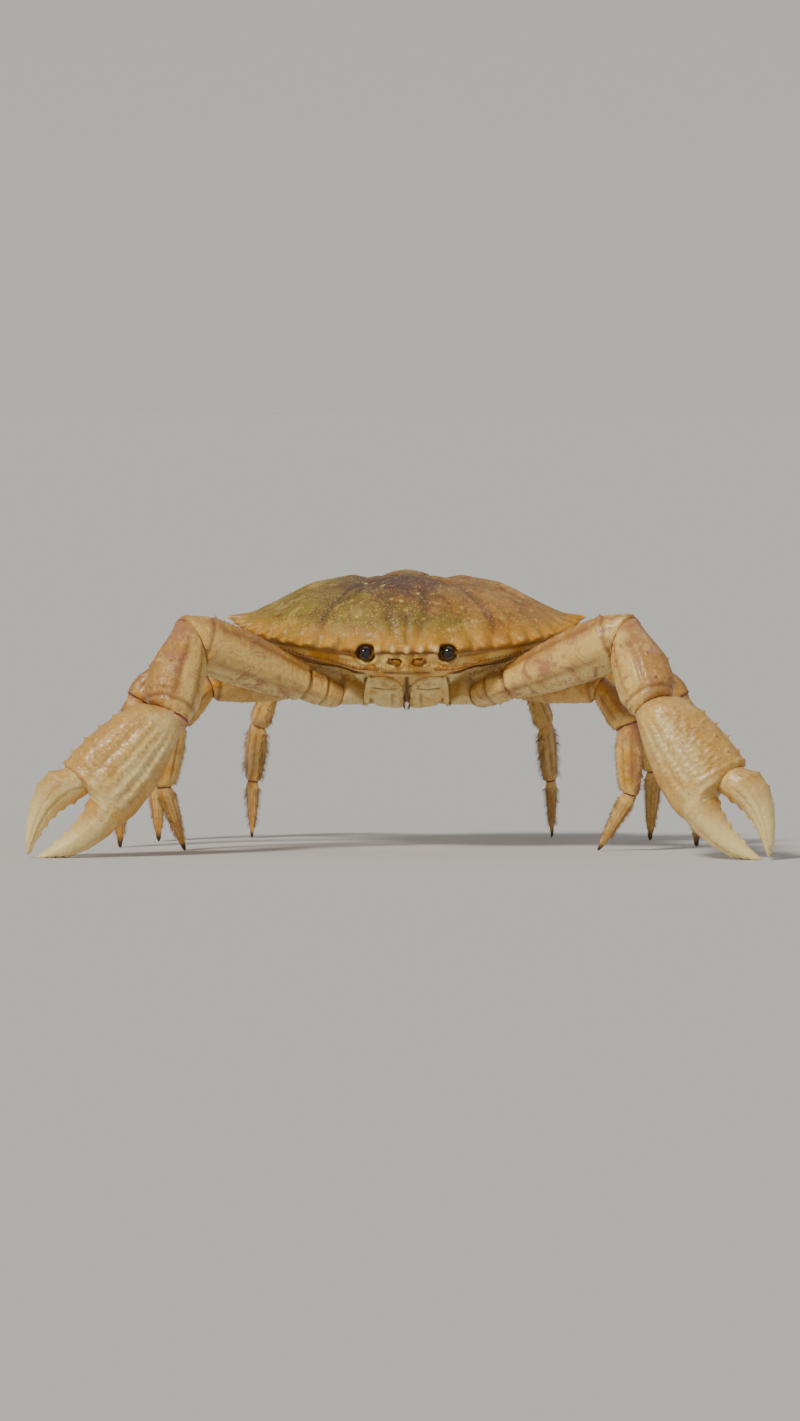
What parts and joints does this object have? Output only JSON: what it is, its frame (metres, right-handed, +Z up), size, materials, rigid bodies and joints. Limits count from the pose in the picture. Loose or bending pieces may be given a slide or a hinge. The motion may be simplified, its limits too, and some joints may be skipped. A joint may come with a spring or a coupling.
{
  "type": "dungeness crab",
  "caption": "Life-size still model of a Dungeness crab that stands tall on its walking legs, with both claws lowered to the floor.",
  "frame": {"origin": "on the floor, below the middle of the outline's box", "axes": "+X to the crab's left, -Y the way it faces, +Z up"},
  "size_m": [0.3436, 0.2162, 0.129],
  "materials": {
    "shell": "wet shell, tan orange with a purple brown smudge",
    "underside": "satin cream shell",
    "claw": "wet cream shell with pale fingertips",
    "leg": "wet shell, cream below and tan orange above",
    "toe": "horn, brown at the point",
    "eye": "glossy black",
    "feeler": "satin, ringed"
  },
  "bodies": {
    "root": {"carapace": "shell", "thorax": "underside", "pleon": "underside", "left_maxilliped": "underside", "right_maxilliped": "underside", "left_eye": "eye", "right_eye": "eye", "left_antenna": "feeler", "right_antenna": "feeler", "left_antennule": "feeler", "right_antennule": "feeler", "left_claw_arm": "claw", "left_claw_carpus": "claw", "left_claw_palm": "claw", "left_claw_finger": "claw", "left_leg_1_merus": "leg", "left_leg_1_carpus": "leg", "left_leg_1_propodus": "leg", "left_leg_1_dactyl": "toe", "left_leg_2_merus": "leg", "left_leg_2_carpus": "leg", "left_leg_2_propodus": "leg", "left_leg_2_dactyl": "toe", "left_leg_3_merus": "leg", "left_leg_3_carpus": "leg", "left_leg_3_propodus": "leg", "left_leg_3_dactyl": "toe", "left_leg_4_merus": "leg", "left_leg_4_carpus": "leg", "left_leg_4_propodus": "leg", "left_leg_4_dactyl": "toe", "right_claw_arm": "claw", "right_claw_carpus": "claw", "right_claw_palm": "claw", "right_claw_finger": "claw", "right_leg_1_merus": "leg", "right_leg_1_carpus": "leg", "right_leg_1_propodus": "leg", "right_leg_1_dactyl": "toe", "right_leg_2_merus": "leg", "right_leg_2_carpus": "leg", "right_leg_2_propodus": "leg", "right_leg_2_dactyl": "toe", "right_leg_3_merus": "leg", "right_leg_3_carpus": "leg", "right_leg_3_propodus": "leg", "right_leg_3_dactyl": "toe", "right_leg_4_merus": "leg", "right_leg_4_carpus": "leg", "right_leg_4_propodus": "leg", "right_leg_4_dactyl": "toe"}
  },
  "joints": []
}
